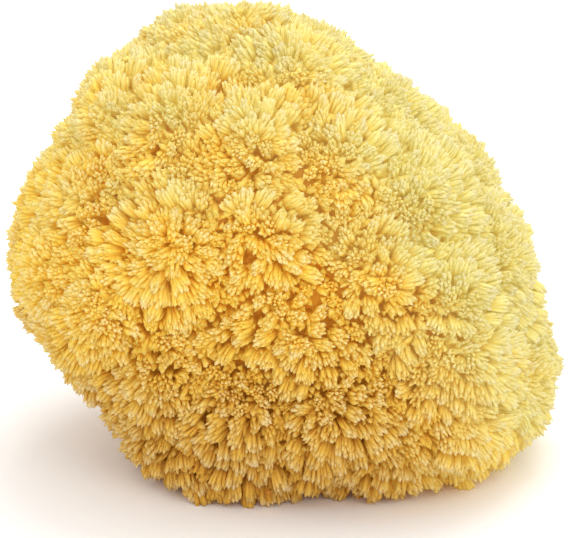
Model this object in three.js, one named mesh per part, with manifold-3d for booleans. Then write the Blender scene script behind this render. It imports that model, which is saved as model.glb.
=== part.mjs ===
// A sea wool sponge: the soft skeleton of a bath sponge, one piece as it grew, trimmed flat where it was
// cut from the rock. The solid is the outline that the tips of its wool reach. Millimetres, +Z up, with
// the cut face on Z = 0 and the origin at the middle of its footprint box.
import * as THREE from "three";
import { mergeVertices } from "three/addons/utils/BufferGeometryUtils.js";
import Module from "manifold-3d";

// Driving dimensions.
const WIDTH = 150;
const DEPTH = 122;
const HEIGHT = 121;
const FACE_DETAIL = 17; // how finely the surface is divided: 20 x (FACE_DETAIL + 1)^2 faces
const LOBE_BLEND = 6; // how softly one lobe runs into the next
const CLUMPS = 170; // clumps of wool over the whole surface, less those that would crowd a front clump
const CLUMP_GAP = 11; // the nearest that one of them comes to a front clump
const CLUMP_HEIGHT = 4.2; // from the groove between clumps to a clump's top
const CLUMP_RADIUS = 10.5; // where a clump's dome has fallen by CLUMP_HEIGHT
const CLUMP_UNEVENNESS = 1.6; // between the tallest clump and the lowest
const CUT_REACH = 12; // how far below the cut the foot would have gone on

// The lobes that the sponge grew as. Places and radii are shares of the width, depth and height.
const LOBES = [
  { name: "crown", at: [-0.11, 0.03, 0.59], radii: [0.33, 0.44, 0.42] },
  { name: "left shoulder", at: [-0.27, 0.0, 0.45], radii: [0.24, 0.37, 0.25] },
  { name: "right flank", at: [0.17, 0.0, 0.4], radii: [0.26, 0.4, 0.38] },
  { name: "right foot", at: [0.24, 0.01, 0.18], radii: [0.26, 0.36, 0.21] },
  { name: "front foot", at: [0.06, -0.02, 0.23], radii: [0.3, 0.37, 0.29] },
  { name: "left foot", at: [-0.17, 0.0, 0.26], radii: [0.2, 0.34, 0.23] },
  { name: "front left foot", at: [-0.11, -0.17, 0.16], radii: [0.18, 0.15, 0.22] },
  { name: "back", at: [0.0, 0.17, 0.44], radii: [0.33, 0.31, 0.37] },
];

// The clumps on the front, in rows from the shoulder down to the cut, as directions from the middle.
const FRONT_CLUMPS = [
  { elevation: 50, azimuths: [-136, -118, -101, -82, -64] },
  { elevation: 34, azimuths: [-138, -123, -108, -93, -78, -61, -38] },
  { elevation: 22, azimuths: [-120, -108, -96, -32] },
  { elevation: 14, azimuths: [-140, -78, -67, -53] },
  { elevation: 8, azimuths: [-139, -116, -101, -41] },
  { elevation: -2, azimuths: [-140, -90, -74, -64, -55, -34] },
  { elevation: -12, azimuths: [-124, -115, -101, -84, -43] },
  { elevation: -18, azimuths: [-133, -69, -59, -30] },
  { elevation: -29, azimuths: [-120, -108, -98, -87, -79, -68, -58, -49, -38] },
];

// The oscules, the larger mouths that water left by, as directions from the middle, with their size.
const OSCULES = [
  { azimuth: -82, elevation: 52, radius: 5.0, depth: 6.0 },
  { azimuth: -52, elevation: 24, radius: 4.5, depth: 5.5 },
  { azimuth: -140, elevation: 66, radius: 4.5, depth: 5.5 },
  { azimuth: 30, elevation: 70, radius: 5.5, depth: 6.5 },
  { azimuth: 100, elevation: 48, radius: 5.0, depth: 6.0 },
  { azimuth: 170, elevation: 20, radius: 4.5, depth: 5.5 },
  { azimuth: 40, elevation: 12, radius: 4.5, depth: 5.5 },
];

// The canals that the cut laid open, on the flat underside.
const CANALS = [
  { at: [-22, 8], radius: 4.2, depth: 9 },
  { at: [-6, -24], radius: 3.4, depth: 8 },
  { at: [12, 20], radius: 4.6, depth: 9 },
  { at: [30, -14], radius: 3.8, depth: 8 },
  { at: [44, 10], radius: 3.2, depth: 7 },
];
const CANAL_SIDES = 10;
const CANAL_TAPER = 0.55; // a canal's width at its blind end, as a share of its mouth

const SIZE = new THREE.Vector3(WIDTH, DEPTH, HEIGHT);
const MIDDLE = new THREE.Vector3(0, 0, 0.42 * HEIGHT);
const SEARCH_STEPS = 26;
const GOLDEN_ANGLE = Math.PI * (3 - Math.sqrt(5));
const WANDER = 0.24; // the most that a scattered direction is pushed along each axis, from side to side

const lobes = LOBES.map(({ at, radii }) => ({
  centre: new THREE.Vector3(...at).multiply(SIZE),
  radii: new THREE.Vector3(...radii).multiply(SIZE),
}));

// The distance from a point to a lobe's surface, negative inside.
function toLobe(point, { centre, radii }) {
  const scaled = point.clone().sub(centre).divide(radii);
  const length = scaled.length();
  return (length * (length - 1)) / Math.max(scaled.divide(radii).length(), 1e-9);
}

// Long, low swellings, so that no lobe is a true ellipsoid.
function swelling({ x, y, z }) {
  const slow = Math.sin(0.071 * x + 0.052 * y + 1.3) + Math.sin(0.083 * z - 0.047 * x + 0.4);
  const quick = Math.sin(0.13 * y + 0.11 * z + 2.1) * Math.sin(0.12 * x - 0.09 * z);
  return 0.8 * slow + 0.9 * quick;
}

// The distance from a point to the smooth union of the lobes, negative inside.
function toBody(point) {
  const sum = lobes.reduce((total, lobe) => total + Math.exp(-toLobe(point, lobe) / LOBE_BLEND), 0);
  return -LOBE_BLEND * Math.log(sum) - swelling(point);
}

// Where the ray from the middle in this direction leaves the body.
function surfacePoint(direction) {
  let inside = 0;
  let outside = WIDTH;
  for (let step = 0; step < SEARCH_STEPS; step++) {
    const half = (inside + outside) / 2;
    if (toBody(MIDDLE.clone().addScaledVector(direction, half)) < 0) inside = half;
    else outside = half;
  }
  return MIDDLE.clone().addScaledVector(direction, inside);
}

// The body's outward direction at a point of its surface.
function outward(point) {
  const reach = 0.5;
  const slope = (axis) =>
    toBody(point.clone().addScaledVector(axis, reach)) - toBody(point.clone().addScaledVector(axis, -reach));
  return new THREE.Vector3(
    slope(new THREE.Vector3(1, 0, 0)),
    slope(new THREE.Vector3(0, 1, 0)),
    slope(new THREE.Vector3(0, 0, 1)),
  ).normalize();
}

// A number from 0 to 1 that looks random and is the same each time.
function scatter(index, salt) {
  const wave = Math.sin(index * 127.1 + salt * 311.7) * 43758.5453;
  return wave - Math.floor(wave);
}

// Directions spread evenly over a sphere, each pushed a little off its place.
function scatteredDirection(index, count) {
  const height = 1 - (2 * (index + 0.5)) / count;
  const turn = GOLDEN_ANGLE * index;
  const across = Math.sqrt(1 - height * height);
  const push = new THREE.Vector3(scatter(index, 0), scatter(index, 1), scatter(index, 2)).subScalar(0.5);
  return new THREE.Vector3(across * Math.cos(turn), across * Math.sin(turn), height)
    .addScaledVector(push, WANDER)
    .normalize();
}

function directionAt({ azimuth, elevation }) {
  const [turn, rise] = [azimuth, elevation].map(THREE.MathUtils.degToRad);
  return new THREE.Vector3(Math.cos(rise) * Math.cos(turn), Math.cos(rise) * Math.sin(turn), Math.sin(rise));
}

const frontCentres = FRONT_CLUMPS.flatMap(({ elevation, azimuths }) =>
  azimuths.map((azimuth) => surfacePoint(directionAt({ azimuth, elevation }))),
);
const otherCentres = Array.from({ length: CLUMPS }, (_, i) => surfacePoint(scatteredDirection(i, CLUMPS)));
const clumps = otherCentres
  .filter((centre) => frontCentres.every((front) => front.distanceTo(centre) > CLUMP_GAP))
  .concat(frontCentres)
  .map((centre, i) => ({ centre, top: CLUMP_UNEVENNESS * (scatter(i, 3) - 0.5) }));
const oscules = OSCULES.map((mouth) => ({ ...mouth, centre: surfacePoint(directionAt(mouth)) }));

// How far the wool stands out at a point: the highest of the clumps' domes there, less the oscules.
function relief(point) {
  const domes = clumps.map(
    ({ centre, top }) => top - CLUMP_HEIGHT * (centre.distanceTo(point) / CLUMP_RADIUS) ** 2,
  );
  const pits = oscules.map(
    ({ centre, radius, depth }) => depth * Math.exp(-((centre.distanceTo(point) / radius) ** 2)),
  );
  return CLUMP_HEIGHT / 2 + Math.max(-CLUMP_HEIGHT, ...domes) - pits.reduce((total, pit) => total + pit);
}

// The grown body, before it was cut: a ball of small faces drawn out to the surface.
function grownBody() {
  const ball = new THREE.IcosahedronGeometry(1, FACE_DETAIL);
  ball.deleteAttribute("normal");
  ball.deleteAttribute("uv");
  const body = mergeVertices(ball, 1e-4);
  const places = body.getAttribute("position");
  for (let i = 0; i < places.count; i++) {
    const point = surfacePoint(new THREE.Vector3().fromBufferAttribute(places, i).normalize());
    point.addScaledVector(outward(point), relief(point));
    places.setXYZ(i, point.x, point.y, point.z);
  }
  return body;
}

// The block of space below the cut.
function belowCut() {
  const block = new THREE.BoxGeometry(2 * WIDTH, 2 * DEPTH, 2 * CUT_REACH + HEIGHT);
  return block.translate(0, 0, -(CUT_REACH + HEIGHT / 2));
}

// One canal, a blind taper that starts a little below the cut face.
function canalHole({ at, radius, depth }) {
  const overrun = 1;
  const hole = new THREE.CylinderGeometry(CANAL_TAPER * radius, radius, depth + overrun, CANAL_SIDES);
  return hole.rotateX(Math.PI / 2).translate(at[0], at[1], (depth - overrun) / 2);
}

const wasm = await Module();
wasm.setup();

function solidOf(geometry) {
  geometry.deleteAttribute("normal");
  geometry.deleteAttribute("uv");
  const merged = mergeVertices(geometry, 1e-4);
  return new wasm.Manifold(
    new wasm.Mesh({
      numProp: 3,
      vertProperties: Float32Array.from(merged.getAttribute("position").array),
      triVerts: Uint32Array.from(merged.index.array),
    }),
  );
}

function geometryOf(solid) {
  const { vertProperties, triVerts } = solid.getMesh();
  const geometry = new THREE.BufferGeometry();
  geometry.setAttribute("position", new THREE.BufferAttribute(vertProperties, 3));
  geometry.setIndex(new THREE.BufferAttribute(triVerts, 1));
  return geometry;
}

// The sponge: the grown body, cut flat, with the canals open in the cut.
function spongeGeometry() {
  let solid = solidOf(grownBody()).subtract(solidOf(belowCut()));
  for (const canal of CANALS) solid = solid.subtract(solidOf(canalHole(canal)));
  const geometry = geometryOf(solid);
  geometry.computeBoundingBox();
  const middle = geometry.boundingBox.getCenter(new THREE.Vector3());
  const stretch = SIZE.clone().divide(geometry.boundingBox.getSize(new THREE.Vector3()));
  geometry.translate(-middle.x, -middle.y, 0);
  geometry.scale(...stretch);
  geometry.computeVertexNormals();
  return geometry;
}

const wool = new THREE.MeshStandardMaterial({
  color: 0xe8bd5c,
  roughness: 0.95,
  metalness: 0,
  flatShading: true,
});

const sponge = new THREE.Mesh(spongeGeometry(), wool);
sponge.name = "sponge";

const part = new THREE.Group();
part.add(sponge);

export default part;
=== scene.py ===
"""A sea wool sponge on a plain pale floor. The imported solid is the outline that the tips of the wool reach.
This script grows the wool inside it: a rough body, tufts of bristles that stand on it and end near that
outline, and short undergrowth between the tufts. Metres, +Z up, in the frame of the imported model."""

import math

import bpy
import numpy as np
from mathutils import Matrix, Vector, noise
from mathutils.kdtree import KDTree


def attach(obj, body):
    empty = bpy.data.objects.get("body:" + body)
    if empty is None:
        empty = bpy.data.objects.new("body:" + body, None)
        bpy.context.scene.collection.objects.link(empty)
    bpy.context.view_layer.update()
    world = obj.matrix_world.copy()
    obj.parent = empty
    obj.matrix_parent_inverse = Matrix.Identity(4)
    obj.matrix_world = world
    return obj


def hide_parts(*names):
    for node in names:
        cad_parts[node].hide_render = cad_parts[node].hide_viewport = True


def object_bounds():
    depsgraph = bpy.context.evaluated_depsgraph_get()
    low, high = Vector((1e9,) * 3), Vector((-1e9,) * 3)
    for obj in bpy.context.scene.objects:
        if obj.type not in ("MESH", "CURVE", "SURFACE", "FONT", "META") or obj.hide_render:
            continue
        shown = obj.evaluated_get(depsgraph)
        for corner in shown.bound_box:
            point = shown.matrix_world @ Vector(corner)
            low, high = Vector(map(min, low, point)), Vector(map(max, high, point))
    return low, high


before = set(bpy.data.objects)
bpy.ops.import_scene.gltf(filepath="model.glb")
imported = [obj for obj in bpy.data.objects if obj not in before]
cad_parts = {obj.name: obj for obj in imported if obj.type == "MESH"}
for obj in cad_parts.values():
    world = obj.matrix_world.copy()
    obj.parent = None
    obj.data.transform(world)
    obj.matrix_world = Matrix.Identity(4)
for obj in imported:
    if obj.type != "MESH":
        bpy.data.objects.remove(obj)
cad_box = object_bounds()

MM = 0.001
SEED = 20
GOLDEN_ANGLE = math.pi * (3 - math.sqrt(5))

# The view: the camera looks along +Y and down on the sponge.
VIEW_ELEVATION = math.radians(18)
VIEW_DISTANCE = 0.55
VIEW_LENS = 131
VIEW_TARGET = (0.494, 0.472, 0.41)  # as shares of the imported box

# The light: an even white sky and two square lamps. Places in metres, power in watts.
SKY_STRENGTH = 1.1
KEY_LAMP = {"location": (0.15, 0.3, 0.95), "target": (0, 0, 0.06), "size": 0.6, "power": 3.8}
FILL_LAMP = {"location": (0.4, -0.95, 0.9), "target": (0, 0, 0.04), "size": 0.7, "power": 2.9}
DIFFUSE_BOUNCES = 12  # many, because light goes to and fro between the strands
FLOOR_SIZE = 6
FLOOR_COLOR = (0.95, 0.95, 0.95)
FLOOR_ROUGHNESS = 0.9

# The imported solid's surface, and the softened one that has no clumps.
CUT_FACE_HEIGHT = 0.05 * MM  # faces that lie wholly below this are the cut face
CANAL_HEIGHT = 10 * MM  # the canals' walls are below this
CANAL_REACH = 0.66  # and nearer the middle than this share of the way out
SOFTENING_ROUNDS = 14
SOFTENING_SHARE = 0.6  # how far a point moves towards its neighbours' middle in one round

# The clumps of wool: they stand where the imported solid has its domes.
CLUMP_APART = 5.5 * MM  # a clump's top stands out more than all points this near
CLUMP_WARP = 1.6 * MM
CLUMP_RELIEF = 0.55  # how much of the outline's relief the wool follows

# The rosettes: groups of clumps whose tufts lean away from one middle.
ROSETTE_APART = 22 * MM
ROSETTE_LEAN = 1.0  # how far tufts lean at most, as outwards over upwards
ROSETTE_SOFTNESS = 7 * MM  # how far from the middle tufts have half of that lean

# The creases between rosettes, where the wool is lower, and darker as painted shade.
CREASE_WIDTH = 3.6 * MM
CREASE_DEPTH = 2.2 * MM
CREASE_SHADE = 0.4  # how much darker the painted shade in the creases is, as a share of COLOR_DEPTH
CREASE_FAINT = 0.25  # the strength of the faintest creases
CREASE_PATCH = 26 * MM  # the size of the patches with strong or faint creases
CREASE_CONTRAST = 0.35  # the noise value where creases are strongest; they are faintest at its negative
CREASE_TOP, CREASE_FOOT = 75 * MM, 35 * MM  # the heights where they start to be strong and all are

# The tufts: each a bundle of bristles that are close together at the root and spread towards the crown.
CANDIDATES = 200000  # random places, of which those far enough apart are kept
TUFT_SPACING = 3.6 * MM
TUFT_LENGTH = (8.0, 10.0)  # mm
TUFT_RADIUS = (1.9, 2.8)  # mm, at the crown
TUFT_ROOT = 0.35  # the root's width, as a share of the crown's
TUFT_FLATNESS = (0.5, 0.95)  # thickness over width
TUFT_RISE = 0.3 * MM  # how far outside the surface that the wool follows the tufts' places are
TUFT_REACH = 1.3 * MM  # how far a tuft reaches past its place, before creases and unevenness
TUFT_UNEVENNESS = 2.0 * MM
EDGE_REACH = 1.8 * MM  # how far a leaning tuft is moved outwards from its rosette's middle
TUFT_WANDER = 0.5  # the strength of the swirls in the tufts' directions
TUFT_SWIRL = 9 * MM  # the size of the swirls
TUFT_JITTER = 0.08
TUFT_DROOP = 0.6  # how far the lowest tufts hang down
DROOP_TOP, DROOP_FOOT = 60 * MM, 5 * MM  # the heights where tufts begin to hang and hang most
TUFT_SHADE = 0.3  # mm, how much the tufts' depth by colour differs

# The bristles of a tuft.
BRISTLES = 18
BRISTLE_RADIUS = (0.58, 0.86)  # mm
BRISTLE_START = 0.1  # where a bristle leaves the tuft's root, as a share of the tuft's length
BRISTLE_REACH = (0.83, 1.08)  # where it ends, as a share of the tuft's length
BRISTLE_ROUNDING = 0.1  # how much shorter the outermost bristles are
BRISTLE_TURN = 0.2  # radians, how much their places round the tuft differ from even
BRISTLE_SPREAD = (0.95, 1.1)  # how far out they end, as a share of the crown's width

# The undergrowth: single short strands that stand between the tufts.
UNDER_SPACING = 1.4 * MM
UNDER_LENGTH = (6.0, 8.0)  # mm
UNDER_DEPTH = (0.3, 2.6)  # mm, how far inside the surface that the wool follows they end
UNDER_RADIUS = (0.85, 1.35)  # mm
UNDER_JITTER = 0.25

# The forms of a strand: its sides, its rings as (share of its length, share of its width), where its point
# is, and how uneven the rings are along it.
BRISTLE = {"sides": 3, "rings": ((0.0, 0.9), (0.7, 1.0), (0.9, 0.75)), "end": 1.01, "ragged": 0.02}
UNDER = {"sides": 3, "rings": ((0.0, 1.0), (0.75, 0.9)), "end": 1.0, "ragged": 0.06}
RING_WIDTHS = (0.85, 1.15)  # how much the corners of a ring differ in their distance from its middle

# The wool's pieces, and the body under it.
WOOL_PIECES = 6
FIRST_PIECE_AT = -225  # degrees from +X, where the first piece starts
WOOL_FLOOR_GAP = 0.15 * MM
BODY_DEPTH = 6.6 * MM
BODY_FLOOR_GAP = 0.3 * MM
BODY_VOXEL = 1.5 * MM
BODY_KNOBS, BODY_KNOB_SIZE = 1.2 * MM, 2.2 * MM
BODY_SWELLS, BODY_SWELL_SIZE = 0.5 * MM, 7 * MM
BODY_ROUGH = (0.2 * MM, 2.5 * MM)  # the heights where its roughness starts and is full
BODY_TONE, BODY_TONE_PER_MM = 0.05, 0.08  # its place on the colour ramps, among the deep painted-shade colours, and how that rises on the knobs, so that dimples are painted darker

# Where the wool has which colour, with painted light and painted shade.
COLOR_DEPTH = 7 * MM  # how far below its tip the wool has its deepest colour, painted shade deep between the strands
PAINTED_LIGHT_UP, PAINTED_LIGHT_ACROSS = 0.75, 0.65  # painted light: how much paler the wool is towards the top and the right, where the light falls
PAINTED_LIGHT_RIGHT = (0.45, 1.0)  # shares of the width, where the painted light starts to pale the wool and where it is palest
PAINTED_LIGHT_RANGE = (0.36, 0.88)  # the sums of the two where the painted light starts to pale the wool and where it is palest
PAINTED_LIGHT_WAVE, PAINTED_LIGHT_WAVE_LENGTH = 0.12, 6 * MM  # the length is that of one radian
SHADED_BROWN_TOP, SHADED_BROWN_FOOT = 65 * MM, 10 * MM  # the heights where the painted shade of the foot, with its browner colour, starts and is strongest
SHADED_BROWN_RANGE = (0.9, 0.6)  # shares of the width, where that painted shade and brown start and are strongest; the right foot, where the light falls, has less

# Colours of the wool from the deepest to the tips: share of the way out, then the colour. The deeper colours
# are darker as painted shade between the strands.
GOLD_WOOL = (
    (0.0, (0.72, 0.33, 0.04)),
    (0.3, (0.88, 0.60, 0.09)),
    (0.65, (0.86, 0.63, 0.11)),
    (0.88, (0.86, 0.67, 0.20)),
    (1.0, (0.86, 0.72, 0.32)),
)
# The painted lit copy of the gold wool: paler, for the top and right where the light falls.
PAINTED_LIT_WOOL = (
    (0.0, (0.84, 0.68, 0.17)),
    (0.3, (0.81, 0.69, 0.21)),
    (0.65, (0.75, 0.66, 0.25)),
    (0.88, (0.71, 0.63, 0.29)),
    (1.0, (0.69, 0.62, 0.35)),
)
# The painted shaded copy of the gold wool for the foot: darker, and browner as the base near the cut is.
SHADED_FOOT_WOOL = (
    (0.0, (0.48, 0.20, 0.03)),
    (0.3, (0.66, 0.35, 0.05)),
    (0.65, (0.71, 0.42, 0.07)),
    (0.88, (0.74, 0.51, 0.16)),
    (1.0, (0.76, 0.58, 0.28)),
)

# A weak glow that stands in for the light that passes through the fine fibres, which isn't simulated.
GOLD_GLOW = (0.12, 0.066, 0.007)
PAINTED_LIT_GLOW = (0.15, 0.125, 0.04)
SHADED_FOOT_GLOW = (0.03, 0.011, 0.001)

# The felted fibres on each strand.
FIBRES_PER_METRE = 1300
FIBRE_DETAIL = 3
FIBRE_BUMP = 0.5
FIBRE_HEIGHT = 0.25 * MM
FIBRE_ROUGHNESS = (0.75, 1.0)


# ---------------------------------------------------------------------------------------------- helpers


def unit(v):
    """Rows of v at length one."""
    return v / np.maximum(np.linalg.norm(v, axis=-1, keepdims=True), 1e-12)


def row_dots(a, b):
    """The dot product of each row of a with the same row of b."""
    return np.einsum("ij,ij->i", a, b)


def smoothstep(low, high, x):
    """0 at low, 1 at high, level beyond them and smooth between; low may be the greater."""
    t = np.clip((x - low) / (high - low), 0, 1)
    return t * t * (3 - 2 * t)


def noise_field(points, scale, offset):
    """Smooth noise from -1 to 1 at each point; another offset gives unlike noise."""
    shift = Vector(offset)
    return np.array([noise.noise(Vector(p) / scale + shift) for p in points])


def tree_of(points):
    """A tree for finding the nearest of the points."""
    tree = KDTree(len(points))
    for i, p in enumerate(points):
        tree.insert(p, i)
    tree.balance()
    return tree


def apart(points, spacing):
    """Which of the points to keep so that no two kept ones are nearer than the spacing."""
    tree = tree_of(points)
    state = np.zeros(len(points), np.int8)
    for i, p in enumerate(points):
        if state[i]:
            continue
        for _, j, _ in tree.find_range(p, spacing):
            state[j] = 2
        state[i] = 1
    return np.flatnonzero(state == 1)


def vertex_vectors(mesh, field):
    """One field of a mesh's vertices, such as their places, as rows."""
    values = np.zeros(len(mesh.vertices) * 3)
    mesh.vertices.foreach_get(field, values)
    return values.reshape(-1, 3)


def mesh_object(name, points, triangles):
    """A smooth-shaded mesh object made from arrays."""
    mesh = bpy.data.meshes.new(name)
    mesh.vertices.add(len(points))
    mesh.vertices.foreach_set("co", points.astype(np.float32).ravel())
    mesh.loops.add(triangles.size)
    mesh.loops.foreach_set("vertex_index", triangles.astype(np.int32).ravel())
    mesh.polygons.add(len(triangles))
    mesh.polygons.foreach_set("loop_start", np.arange(0, triangles.size, 3, dtype=np.int32))
    mesh.update(calc_edges=True)
    mesh.validate()
    mesh.shade_smooth()
    obj = bpy.data.objects.new(name, mesh)
    bpy.context.scene.collection.objects.link(obj)
    return obj


# ---------------------------------------------------------------------------------------------- outline


def mesh_arrays(obj):
    """The points and triangles of a mesh, with the points that share a place merged."""
    mesh = obj.data
    points = vertex_vectors(mesh, "co")
    mesh.calc_loop_triangles()
    triangles = np.zeros(len(mesh.loop_triangles) * 3, np.int64)
    mesh.loop_triangles.foreach_get("vertices", triangles)
    places, index = np.unique(np.round(points, 7), axis=0, return_inverse=True)
    return places, index.ravel()[triangles].reshape(-1, 3)


def vertex_normals(points, triangles):
    """Area-weighted normals at the points."""
    a, b, c = (points[triangles[:, i]] for i in range(3))
    face = np.cross(b - a, c - a)
    normals = np.zeros_like(points)
    for corner in range(3):
        np.add.at(normals, triangles[:, corner], face)
    return unit(normals)


def softened(points, triangles, fixed):
    """The points relaxed towards their neighbours' middle; the fixed ones stay."""
    edges = np.concatenate([triangles[:, [0, 1]], triangles[:, [1, 2]], triangles[:, [2, 0]]])
    count = np.bincount(edges[:, 0], minlength=len(points))[:, None]
    out = points.copy()
    for _ in range(SOFTENING_ROUNDS):
        total = np.zeros_like(out)
        np.add.at(total, edges[:, 0], out[edges[:, 1]])
        middle = total / np.maximum(count, 1)
        out = np.where(fixed[:, None], out, (1 - SOFTENING_SHARE) * out + SOFTENING_SHARE * middle)
    return out


class Outline:
    """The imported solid's surface, and the same surface with its clumps smoothed away."""

    def __init__(self, obj):
        self.points, self.triangles = mesh_arrays(obj)
        corners = self.points[self.triangles]
        on_floor = corners[:, :, 2].max(axis=1) < CUT_FACE_HEIGHT
        self.side = ~(on_floor | self.canal_faces(corners, on_floor))
        low = np.zeros(len(self.points), bool)
        low[self.triangles[~self.side]] = True
        self.base_points = low
        self.soft = softened(self.points, self.triangles, low)
        self.soft_normals = vertex_normals(self.soft, self.triangles)
        swell = row_dots(self.points - self.soft, self.soft_normals)
        self.soft = self.soft + np.mean(swell[~low]) * self.soft_normals * ~low[:, None]
        self.relief = row_dots(self.points - self.soft, self.soft_normals)

    @staticmethod
    def canal_faces(corners, on_floor):
        """The walls of the canals that run up into the cut face: low, facing inwards, away from the side."""
        middle = corners.mean(axis=1)
        face = np.cross(corners[:, 1] - corners[:, 0], corners[:, 2] - corners[:, 0])
        inward = row_dots(face[:, :2], middle[:, :2]) < 0
        widest = np.abs(corners[:, :, :2]).reshape(-1, 2).max(axis=0)
        reach = np.linalg.norm(middle[:, :2] / widest, axis=1)
        return ~on_floor & inward & (middle[:, 2] < CANAL_HEIGHT) & (reach < CANAL_REACH)

    def scatter(self, rng, count):
        """Random places on the side, even by area: triangle and weights of its corners."""
        sides = np.flatnonzero(self.side)
        a, b, c = (self.points[self.triangles[sides, i]] for i in range(3))
        area = np.linalg.norm(np.cross(b - a, c - a), axis=1)
        chosen = rng.choice(sides, size=count, p=area / area.sum())
        r1 = np.sqrt(rng.random(count))
        r2 = rng.random(count)
        weights = np.stack([1 - r1, r1 * (1 - r2), r1 * r2], axis=1)
        return chosen, weights

    def at(self, values, chosen, weights):
        """Values kept at the points, read at scattered places."""
        return np.einsum("ij,ijk->ik", weights, values[self.triangles[chosen]])


# ---------------------------------------------------------------------------------------------- places


def clump_tops(outline):
    """The tops of the clumps, highest first: points of the outline that stand out more than any near them."""
    order = [i for i in np.argsort(-outline.relief) if not outline.base_points[i]]
    tree = tree_of(outline.points)
    tops = []
    for i in order:
        near = [j for _, j, _ in tree.find_range(outline.points[i], CLUMP_APART)]
        if outline.relief[i] >= outline.relief[near].max():
            tops.append(outline.points[i])
    return np.array(tops)


def warped(places):
    """Places pushed to and fro by waves 19 to 30 mm long, so that the rosettes' edges wind."""
    x, y, z = (places / MM).T
    push = [np.sin(0.31 * y + 0.23 * z), np.sin(0.27 * z + 0.33 * x), np.sin(0.29 * x + 0.21 * y)]
    return places + CLUMP_WARP * np.stack(push, axis=1)


def nearest_two(places, centres):
    """For each place: the nearest centre, and how much farther off the next one is."""
    tree = tree_of(centres)
    nearest, margin = [], []
    for p in places:
        first, second = tree.find_n(p, 2)
        nearest.append(first[0])
        margin.append(second[2] - first[2])
    return np.array(nearest), np.array(margin)


def stand_places(outline, spacing, rng):
    """Places apart by the spacing on the surface that the wool follows, and the outward direction there."""
    chosen, weights = outline.scatter(rng, CANDIDATES)
    places = outline.at(outline.points, chosen, weights)
    kept = apart(places, spacing)
    chosen, weights, places = chosen[kept], weights[kept], places[kept]
    normal = unit(outline.at(outline.soft_normals, chosen, weights))
    relief = outline.at(outline.relief[:, None], chosen, weights)
    return places + (TUFT_RISE - (1 - CLUMP_RELIEF) * relief) * normal, normal


def creases(places, margin):
    """How deep in a crease between rosettes each place is, from 0 to 1; some creases are stronger."""
    patches = noise_field(places, CREASE_PATCH, (3, 8, 1))
    strong = smoothstep(-CREASE_CONTRAST, CREASE_CONTRAST, patches)
    low = smoothstep(CREASE_TOP, CREASE_FOOT, places[:, 2])
    strength = CREASE_FAINT + (1 - CREASE_FAINT) * np.maximum(strong, low)
    return strength * smoothstep(CREASE_WIDTH, 0, margin)


# ---------------------------------------------------------------------------------------------- strands


def side_axes(axes, angle):
    """Two directions square to each axis and to each other, the first turned by the angle."""
    helper = np.where(np.abs(axes[:, 2:3]) < 0.9, [[0.0, 0.0, 1.0]], [[1.0, 0.0, 0.0]])
    u = unit(np.cross(helper, axes))
    v = np.cross(axes, u)
    c, s = np.cos(angle)[:, None], np.sin(angle)[:, None]
    return c * u + s * v, c * v - s * u


class Strands:
    """Many strands of one form: root, tip, half widths, and how deep the tip is by colour, deeper being
    darker as painted shade.
    """

    def __init__(self, form):
        self.form = form
        self.parts = []

    def add(self, root, tip, wide, thick, shade):
        """More strands; the half widths are vectors, and the shade is a depth in metres, the painted shade of
        the colour.
        """
        self.parts.append((root, tip, wide, thick, shade))

    def join(self):
        """The numbers of all strands, each as one array."""
        joined = (np.concatenate(part) for part in zip(*self.parts))
        self.root, self.tip, self.wide, self.thick, self.shade = joined
        return self


def tuft_axes(places, normal, centre, margin, rng):
    """The tufts' directions: away from their rosette's middle but upright in the creases, wandering in
    slow swirls, hanging at the foot. Also how far each is moved outwards from that middle."""
    offset = warped(places) - centre
    offset -= row_dots(offset, normal)[:, None] * normal
    away = offset / (np.linalg.norm(offset, axis=1, keepdims=True) + ROSETTE_SOFTNESS)
    away = away * smoothstep(0, CREASE_WIDTH, margin)[:, None]
    swirl = np.stack([noise_field(places, TUFT_SWIRL, (k, 5, 2 * k)) for k in (1, 2, 3)], axis=1)
    lean = normal + ROSETTE_LEAN * away + TUFT_WANDER * swirl
    lean[:, 2] -= TUFT_DROOP * smoothstep(DROOP_TOP, DROOP_FOOT, places[:, 2])
    return unit(lean + rng.normal(0, TUFT_JITTER, lean.shape)), EDGE_REACH * away


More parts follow.
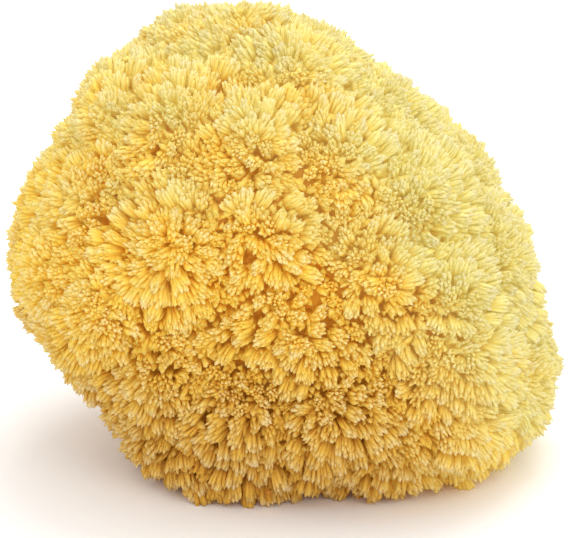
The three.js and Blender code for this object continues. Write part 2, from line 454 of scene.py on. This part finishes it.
def tuft_strands(outline, rng):
    """The bristles of all tufts."""
    places, normal = stand_places(outline, TUFT_SPACING, rng)
    tops = clump_tops(outline)
    centre, margin = nearest_two(warped(places), tops[apart(tops, ROSETTE_APART)])
    axes, outwards = tuft_axes(places, normal, centre, margin, rng)
    count = len(places)
    crease = creases(places, margin)
    reach = TUFT_REACH - CREASE_DEPTH * crease - TUFT_UNEVENNESS * rng.uniform(0, 1, count) ** 2
    tips = places + outwards + reach[:, None] * axes
    # Painted shade: tufts in the creases take deeper, darker colours; each tuft also differs in tone at
    # random.
    shade = CREASE_SHADE * COLOR_DEPTH * crease + rng.normal(0, TUFT_SHADE, count) * MM
    length = rng.uniform(*TUFT_LENGTH, count) * MM
    span = length[:, None] * axes
    roots = tips - span
    along, across = side_axes(axes, rng.uniform(0, 2 * math.pi, count))
    radius = rng.uniform(*TUFT_RADIUS, (count, 1)) * MM
    flatness = rng.uniform(*TUFT_FLATNESS, (count, 1))
    wide, thick = radius * along, radius * flatness * across

    bristles = Strands(BRISTLE)
    start_width = TUFT_ROOT + (1 - TUFT_ROOT) * BRISTLE_START
    for i in range(BRISTLES):
        out = math.sqrt((i + 0.5) / BRISTLES)
        turn = GOLDEN_ANGLE * i + rng.normal(0, BRISTLE_TURN, count)
        offset = out * (np.cos(turn)[:, None] * wide + np.sin(turn)[:, None] * thick)
        end = rng.uniform(*BRISTLE_REACH, count) - BRISTLE_ROUNDING * out**2
        root = roots + BRISTLE_START * span + start_width * offset
        tip = roots + end[:, None] * span + rng.uniform(*BRISTLE_SPREAD, (count, 1)) * offset
        girth = rng.uniform(*BRISTLE_RADIUS, (count, 1)) * MM
        u, v = side_axes(unit(tip - root), rng.uniform(0, 2 * math.pi, count))
        # Shorter bristles take deeper, darker colours: painted shade.
        bristles.add(root, tip, girth * u, girth * v, shade + (1 - end) * length)
    return bristles.join()


def under_strands(outline, rng):
    """The undergrowth: short strands that stand straight out of the body."""
    places, normal = stand_places(outline, UNDER_SPACING, rng)
    count = len(places)
    axes = unit(normal + rng.normal(0, UNDER_JITTER, normal.shape))
    length = rng.uniform(*UNDER_LENGTH, count)[:, None] * MM
    depth = TUFT_RISE + rng.uniform(*UNDER_DEPTH, count) * MM
    tip = places - depth[:, None] * axes
    radius = rng.uniform(*UNDER_RADIUS, count)[:, None] * MM
    u, v = side_axes(axes, rng.uniform(0, 2 * math.pi, count))
    strands = Strands(UNDER)
    # The deeper a strand ends, the darker its colour: painted shade.
    strands.add(tip - length * axes, tip, radius * u, radius * v, depth)
    return strands.join()


def strand_points(strands, here, rng):
    """Rings of points from root to end of each strand, then its point, and how deep each of them is."""
    form = strands.form
    root, span = strands.root[here], strands.tip[here] - strands.root[here]
    wide, thick, shade = strands.wide[here], strands.thick[here], strands.shade[here]
    count = len(root)
    length = np.linalg.norm(span, axis=1)
    points, depths = [], []

    def add(share, width, turn):
        """One point of every strand."""
        out = math.cos(turn) * wide + math.sin(turn) * thick
        points.append(root + share[:, None] * span + width[:, None] * out)
        depths.append((1 - share) * length + shade)

    sides = form["sides"]
    for share, width in form["rings"]:
        for k in range(sides):
            ragged = share * form["ragged"] * rng.normal(0, 1, count)
            add(share + ragged, width * rng.uniform(*RING_WIDTHS, count), 2 * math.pi * k / sides)
    add(np.full(count, form["end"]), np.zeros(count), 0)
    return np.stack(points, axis=1), np.stack(depths, axis=1)


def strand_triangles(form):
    """The triangles of one strand, with the faces pointing out."""
    n, rings = form["sides"], len(form["rings"])
    out = [(0, k + 1, k) for k in range(1, n - 1)]
    for k in range(n):
        m = (k + 1) % n
        for level in range(rings - 1):
            a, b = level * n, (level + 1) * n
            out.append((a + k, a + m, b + m))
            out.append((a + k, b + m, b + k))
        last = (rings - 1) * n
        out.append((last + k, last + m, rings * n))
    return np.array(out)


# ---------------------------------------------------------------------------------------------- pieces


def box_shares(points):
    """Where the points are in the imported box: 0 at its lowest corner, 1 at its highest."""
    low, high = np.array(cad_box[0]), np.array(cad_box[1])
    return (points - low) / (high - low)


def painted_lightness(points):
    """Painted light: how pale the wool is at each point, paler towards the top and the right where the light
    falls, with a wavy border.
    """
    share = box_shares(points)
    across = smoothstep(*PAINTED_LIGHT_RIGHT, share[:, 0])
    x, y, z = (points / PAINTED_LIGHT_WAVE_LENGTH).T
    wave = PAINTED_LIGHT_WAVE * np.sin(x + 1.3 * z) * np.sin(1.1 * y - 0.7 * x + 2)
    return smoothstep(*PAINTED_LIGHT_RANGE, PAINTED_LIGHT_UP * share[:, 2] + PAINTED_LIGHT_ACROSS * across + wave)


def foot_shade_and_brownness(points):
    """Painted shade and brown at each point: darker and browner near the cut, where less light reaches and
    the base is browner, and less so on the right foot, where the light falls.
    """
    across = box_shares(points)[:, 0]
    return smoothstep(SHADED_BROWN_TOP, SHADED_BROWN_FOOT, points[:, 2]) * smoothstep(*SHADED_BROWN_RANGE, across)


def set_color_numbers(obj, points, height):
    """The numbers that the wool's material reads at each vertex: its place from the deepest colour, 0, to
    the tips, 1, deeper being darker as painted shade; how much painted light pales it; and how much painted
    shade and brown darken its foot."""
    numbers = {"wool_height": height, "wool_painted_light": painted_lightness(points), "wool_foot_shade_and_brown": foot_shade_and_brownness(points)}
    for name, values in numbers.items():
        attribute = obj.data.attributes.new(name, "FLOAT", "POINT")
        attribute.data.foreach_set("value", values.astype(np.float32))


def sector_of(places):
    """Which of the pieces of wool a place belongs to, by the side of the sponge it is on."""
    around = np.degrees(np.arctan2(places[:, 1], places[:, 0]))
    return ((around - FIRST_PIECE_AT) % 360 // (360 / WOOL_PIECES)).astype(int)


def wool_piece(name, groups, rng):
    """One mesh of many strands, kept above the floor, with the numbers that its material reads."""
    points, depths, triangles = [], [], []
    start = 0
    for strands, here in groups:
        own, depth = strand_points(strands, here, rng)
        count, size = own.shape[:2]
        steps = start + size * np.arange(count)
        triangles.append((strand_triangles(strands.form)[None] + steps[:, None, None]).reshape(-1, 3))
        points.append(own.reshape(-1, 3))
        depths.append(depth.ravel())
        start += count * size
    points = np.concatenate(points)
    points[:, 2] = np.maximum(points[:, 2], WOOL_FLOOR_GAP)
    obj = mesh_object(name, points, np.concatenate(triangles))
    set_color_numbers(obj, points, 1 - np.concatenate(depths) / COLOR_DEPTH)
    return obj


def grow_wool(outline):
    """All tufts and undergrowth, split into pieces by the side of the sponge they stand on."""
    rng = np.random.default_rng(SEED)
    kinds = [tuft_strands(outline, rng), under_strands(outline, rng)]
    sectors = [sector_of(kind.root) for kind in kinds]
    pieces = []
    for i in range(WOOL_PIECES):
        groups = [(kind, sector == i) for kind, sector in zip(kinds, sectors)]
        pieces.append(wool_piece(f"wool_{i + 1}", groups, rng))
    return pieces


def body_mesh(outline):
    """The body under the tufts: the softened outline drawn in, remeshed evenly, with a rough surface."""
    inset = outline.soft + (CLUMP_RELIEF * outline.relief - BODY_DEPTH)[:, None] * outline.soft_normals
    low = outline.base_points
    flat = outline.points.copy()
    shrink = 1 - BODY_DEPTH / np.linalg.norm(flat[:, :2], axis=1).clip(BODY_DEPTH * 2)
    flat[:, :2] *= shrink[:, None]
    points = np.where(low[:, None], flat, inset)
    points[:, 2] = np.where(low, outline.points[:, 2], np.maximum(points[:, 2], BODY_FLOOR_GAP))
    obj = mesh_object("sponge_body", points, outline.triangles)
    remesh = obj.modifiers.new("even", "REMESH")
    remesh.mode = "VOXEL"
    remesh.voxel_size = BODY_VOXEL
    bpy.context.view_layer.objects.active = obj
    bpy.ops.object.modifier_apply(modifier="even")
    roughen(obj)
    return obj


def roughen(obj):
    """Knobs and dimples over the body, none on the cut face, with painted shade darker in the dimples."""
    mesh = obj.data
    points, normals = vertex_vectors(mesh, "co"), vertex_vectors(mesh, "normal")
    knobs = BODY_KNOBS * noise_field(points, BODY_KNOB_SIZE, (0, 4, 9))
    swells = BODY_SWELLS * noise_field(points, BODY_SWELL_SIZE, (2, 2, 7))
    lift = (knobs + swells) * smoothstep(*BODY_ROUGH, points[:, 2])
    points = points + lift[:, None] * normals
    points[:, 2] = np.maximum(points[:, 2], 0)
    mesh.vertices.foreach_set("co", points.astype(np.float32).ravel())
    mesh.update()
    mesh.shade_smooth()
    # The body's colour: painted shade, deep and dark, lighter on the knobs and darker in the dimples.
    set_color_numbers(obj, points, BODY_TONE + BODY_TONE_PER_MM * lift / MM)


# ---------------------------------------------------------------------------------------------- material


def add_ramp(nodes, stops):
    """A colour ramp with these stops."""
    ramp = nodes.new("ShaderNodeValToRGB")
    elements = ramp.color_ramp.elements
    while len(elements) < len(stops):
        elements.new(0.5)
    for element, (position, color) in zip(elements, stops):
        element.position = position
        element.color = (*color, 1)
    return ramp


def add_attribute(nodes, name):
    """A node that reads one of the wool's own numbers."""
    attribute = nodes.new("ShaderNodeAttribute")
    attribute.attribute_name = name
    return attribute


def mixed(tree, name, first, second):
    """The first colour where the wool's number of that name is 0, the second where it is 1. Each is a
    colour or another node's output."""
    mix = tree.nodes.new("ShaderNodeMix")
    mix.data_type = "RGBA"
    share, a, b = (socket for socket in mix.inputs if socket.enabled)
    tree.links.new(add_attribute(tree.nodes, name).outputs["Fac"], share)
    for color, socket in ((first, a), (second, b)):
        if isinstance(color, tuple):
            socket.default_value = (*color, 1)
        else:
            tree.links.new(color, socket)
    return next(socket for socket in mix.outputs if socket.enabled)


def gold_lit_and_shaded(tree, gold, pale, foot):
    """The gold colour, mixed to the paler painted lit one where the painted light falls and to the foot's
    darker, browner one where its painted shade and brown are.
    """
    return mixed(tree, "wool_foot_shade_and_brown", mixed(tree, "wool_painted_light", gold, pale), foot)


def add_fibres(tree, shader):
    """The fine felted fibres on every strand: small bumps, and a roughness that varies with them."""
    nodes, links = tree.nodes, tree.links
    place = nodes.new("ShaderNodeTexCoord")
    fibres = nodes.new("ShaderNodeTexNoise")
    fibres.inputs["Scale"].default_value = FIBRES_PER_METRE
    fibres.inputs["Detail"].default_value = FIBRE_DETAIL
    links.new(place.outputs["Object"], fibres.inputs["Vector"])
    bump = nodes.new("ShaderNodeBump")
    bump.inputs["Strength"].default_value = FIBRE_BUMP
    bump.inputs["Distance"].default_value = FIBRE_HEIGHT
    links.new(fibres.outputs["Fac"], bump.inputs["Height"])
    links.new(bump.outputs["Normal"], shader.inputs["Normal"])
    roughness = nodes.new("ShaderNodeMapRange")
    roughness.inputs["To Min"].default_value, roughness.inputs["To Max"].default_value = FIBRE_ROUGHNESS
    links.new(fibres.outputs["Fac"], roughness.inputs["Value"])
    links.new(roughness.outputs["Result"], shader.inputs["Roughness"])


def wool_material():
    """Golden spongin: brown-gold deep in the gaps as painted shade, gold on the sides of the tufts and cream
    at their tips; paler at the top and right as painted light; darker and browner at the foot, as painted
    shade and its browner base."""
    material = bpy.data.materials.new("sponge_wool")
    material.use_nodes = True
    tree = material.node_tree
    shader = tree.nodes["Principled BSDF"]
    shader.inputs["Specular IOR Level"].default_value = 0.0
    add_fibres(tree, shader)
    height = add_attribute(tree.nodes, "wool_height")
    ramps = [add_ramp(tree.nodes, stops) for stops in (GOLD_WOOL, PAINTED_LIT_WOOL, SHADED_FOOT_WOOL)]
    for ramp in ramps:
        tree.links.new(height.outputs["Fac"], ramp.inputs["Fac"])
    color = gold_lit_and_shaded(tree, *(ramp.outputs["Color"] for ramp in ramps))
    tree.links.new(color, shader.inputs["Base Color"])
    glow = gold_lit_and_shaded(tree, GOLD_GLOW, PAINTED_LIT_GLOW, SHADED_FOOT_GLOW)
    tree.links.new(glow, shader.inputs["Emission Color"])
    shader.inputs["Emission Strength"].default_value = 1.0
    return material


# ---------------------------------------------------------------------------------------------- stage


def aimed(obj, direction):
    """Puts the object in the scene, turned so that it looks in the direction."""
    obj.rotation_euler = direction.to_track_quat("-Z", "Y").to_euler()
    bpy.context.scene.collection.objects.link(obj)
    return obj


def add_camera():
    """The camera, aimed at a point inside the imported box."""
    low, high = Vector(cad_box[0]), Vector(cad_box[1])
    target = Vector(l + share * (h - l) for l, h, share in zip(low, high, VIEW_TARGET))
    back = Vector((0, -math.cos(VIEW_ELEVATION), math.sin(VIEW_ELEVATION)))
    data = bpy.data.cameras.new("camera")
    data.lens = VIEW_LENS
    camera = bpy.data.objects.new("camera", data)
    camera.location = target + VIEW_DISTANCE * back
    bpy.context.scene.camera = aimed(camera, -back)


def add_floor():
    """A plain white floor."""
    bpy.ops.mesh.primitive_plane_add(size=FLOOR_SIZE)
    floor = bpy.context.object
    floor.name = "floor"
    material = bpy.data.materials.new("floor")
    material.use_nodes = True
    shader = material.node_tree.nodes["Principled BSDF"]
    shader.inputs["Base Color"].default_value = (*FLOOR_COLOR, 1)
    shader.inputs["Roughness"].default_value = FLOOR_ROUGHNESS
    floor.data.materials.append(material)


def add_lamp(name, location, target, size, power):
    """A square soft lamp that points at the target."""
    data = bpy.data.lights.new(name, "AREA")
    data.energy = power
    data.size = size
    lamp = bpy.data.objects.new(name, data)
    lamp.location = location
    aimed(lamp, Vector(target) - Vector(location))


def add_light():
    """An even white sky, a key lamp high up behind and to the right, and a fill lamp high in front and to
    the right."""
    world = bpy.data.worlds.new("studio")
    world.use_nodes = True
    sky = world.node_tree.nodes["Background"]
    sky.inputs["Color"].default_value = (1, 1, 1, 1)
    sky.inputs["Strength"].default_value = SKY_STRENGTH
    bpy.context.scene.world = world
    add_lamp("key", **KEY_LAMP)
    add_lamp("fill", **FILL_LAMP)


bpy.context.scene.view_settings.view_transform = "Standard"
bpy.context.scene.cycles.diffuse_bounces = DIFFUSE_BOUNCES
add_camera()
add_floor()
add_light()

outline = Outline(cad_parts["sponge"])
body = body_mesh(outline)
wool = grow_wool(outline)
material = wool_material()
for piece in [body, *wool]:
    piece.data.materials.clear()
    piece.data.materials.append(material)
    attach(piece, "root")
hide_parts("sponge")
